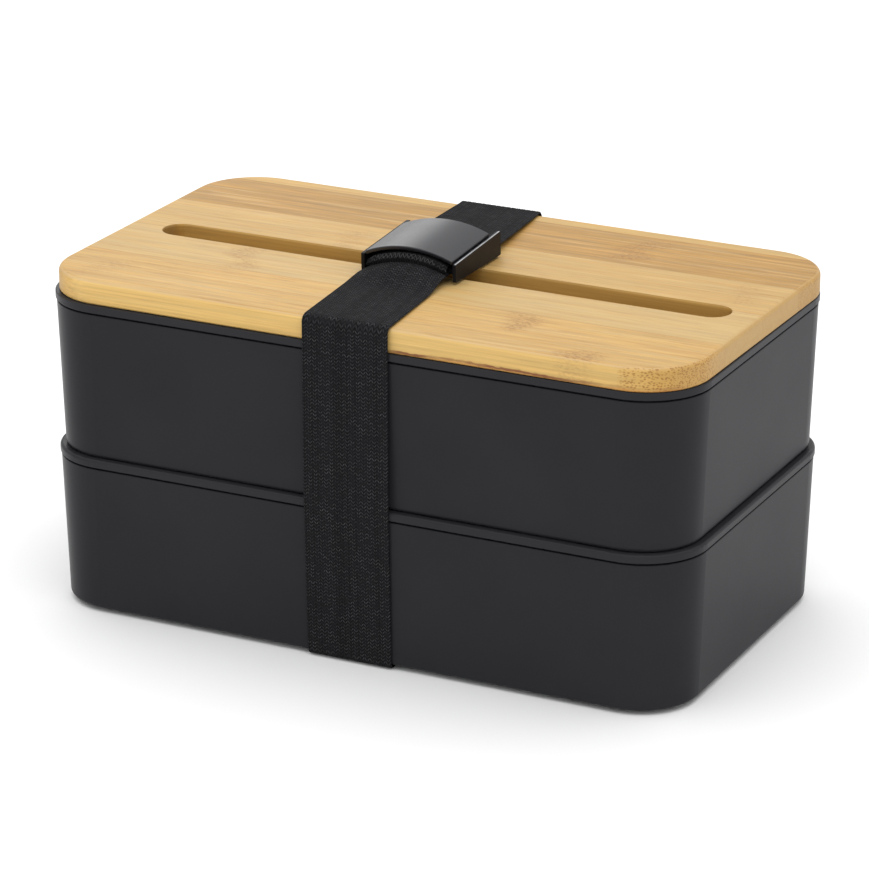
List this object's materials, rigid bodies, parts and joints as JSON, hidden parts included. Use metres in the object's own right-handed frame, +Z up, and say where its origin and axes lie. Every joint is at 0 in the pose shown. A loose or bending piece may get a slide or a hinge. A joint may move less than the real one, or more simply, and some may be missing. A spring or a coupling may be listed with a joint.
{
  "type": "bento lunch box",
  "caption": "Stacked lunch box of two tapered black trays with lids, a grooved bamboo board on top and an elastic strap with a flip buckle.",
  "frame": {"origin": "centre of the footprint, on the surface that the foot ridges stand on", "axes": "+X along the box's length, +Y to its back, +Z up"},
  "size_m": [0.1851, 0.1082, 0.103],
  "materials": {
    "black_tray": "satin black polypropylene",
    "black_lid": "satin black polypropylene",
    "seal": "matt grey silicone",
    "bamboo": "laminated bamboo, oiled",
    "steel": "plain",
    "strap": "woven black elastic",
    "buckle": "satin black"
  },
  "bodies": {
    "base_tray": {"lower_tray": "black_tray"},
    "lower_divider": {"lower_tray_divider": "black_tray"},
    "inner_lid": {"lower_lid": "black_lid", "lower_lid_seal": "seal"},
    "top_tray": {"upper_tray": "black_tray"},
    "upper_divider": {"upper_tray_divider": "black_tray"},
    "top_lid": {"upper_lid": "black_lid", "upper_lid_seal": "seal", "bamboo_board": "bamboo", "board_screws": "steel"},
    "strap_under": {"strap_lower_run": "strap"},
    "strap_rim": {"strap_lid_run": "strap"},
    "strap_sides": {"strap_side_run": "strap"},
    "strap_top": {"strap_top_run": "strap", "buckle_frame": "buckle", "buckle_pin": "steel"},
    "lever": {"buckle_lever": "buckle"}
  },
  "joints": [
    {"name": "inner_lid_lift", "type": "slide", "parent": "base_tray", "child": "inner_lid", "axis": [0, 0, 1], "range_m": [0, 0.06]},
    {"name": "top_tray_lift", "type": "slide", "parent": "inner_lid", "child": "top_tray", "axis": [0, 0, 1], "range_m": [0, 0.06]},
    {"name": "top_lid_lift", "type": "slide", "parent": "top_tray", "child": "top_lid", "axis": [0, 0, 1], "range_m": [0, 0.06]},
    {"name": "lower_divider_slide", "type": "slide", "parent": "base_tray", "child": "lower_divider", "axis": [1, 0, 0], "range_m": [-0.03, 0.03]},
    {"name": "upper_divider_slide", "type": "slide", "parent": "top_tray", "child": "upper_divider", "axis": [1, 0, 0], "range_m": [-0.03, 0.03]},
    {"name": "strap_slide", "type": "slide", "parent": "base_tray", "child": "strap_under", "axis": [1, 0, 0], "range_m": [-0.06, 0.065]},
    {"name": "strap_rim_stretch", "type": "slide", "parent": "strap_under", "child": "strap_rim", "axis": [0, 0, 1], "range_m": [0, 0.06]},
    {"name": "strap_sides_stretch", "type": "slide", "parent": "strap_rim", "child": "strap_sides", "axis": [0, 0, 1], "range_m": [0, 0.06]},
    {"name": "strap_top_stretch", "type": "slide", "parent": "strap_sides", "child": "strap_top", "axis": [0, 0, 1], "range_m": [0, 0.06]},
    {"name": "lever_flip", "type": "hinge", "parent": "strap_top", "child": "lever", "pos_m": [-0.0018, 0.0074, 0.09824], "axis": [-0.9998, 0, -0.0209], "range_deg": [0, 90]}
  ],
  "couplings": [
    {"joint": "strap_rim_stretch", "follows": "inner_lid_lift", "ratio": 1},
    {"joint": "strap_sides_stretch", "follows": "top_tray_lift", "ratio": 1},
    {"joint": "strap_top_stretch", "follows": "top_lid_lift", "ratio": 1}
  ]
}
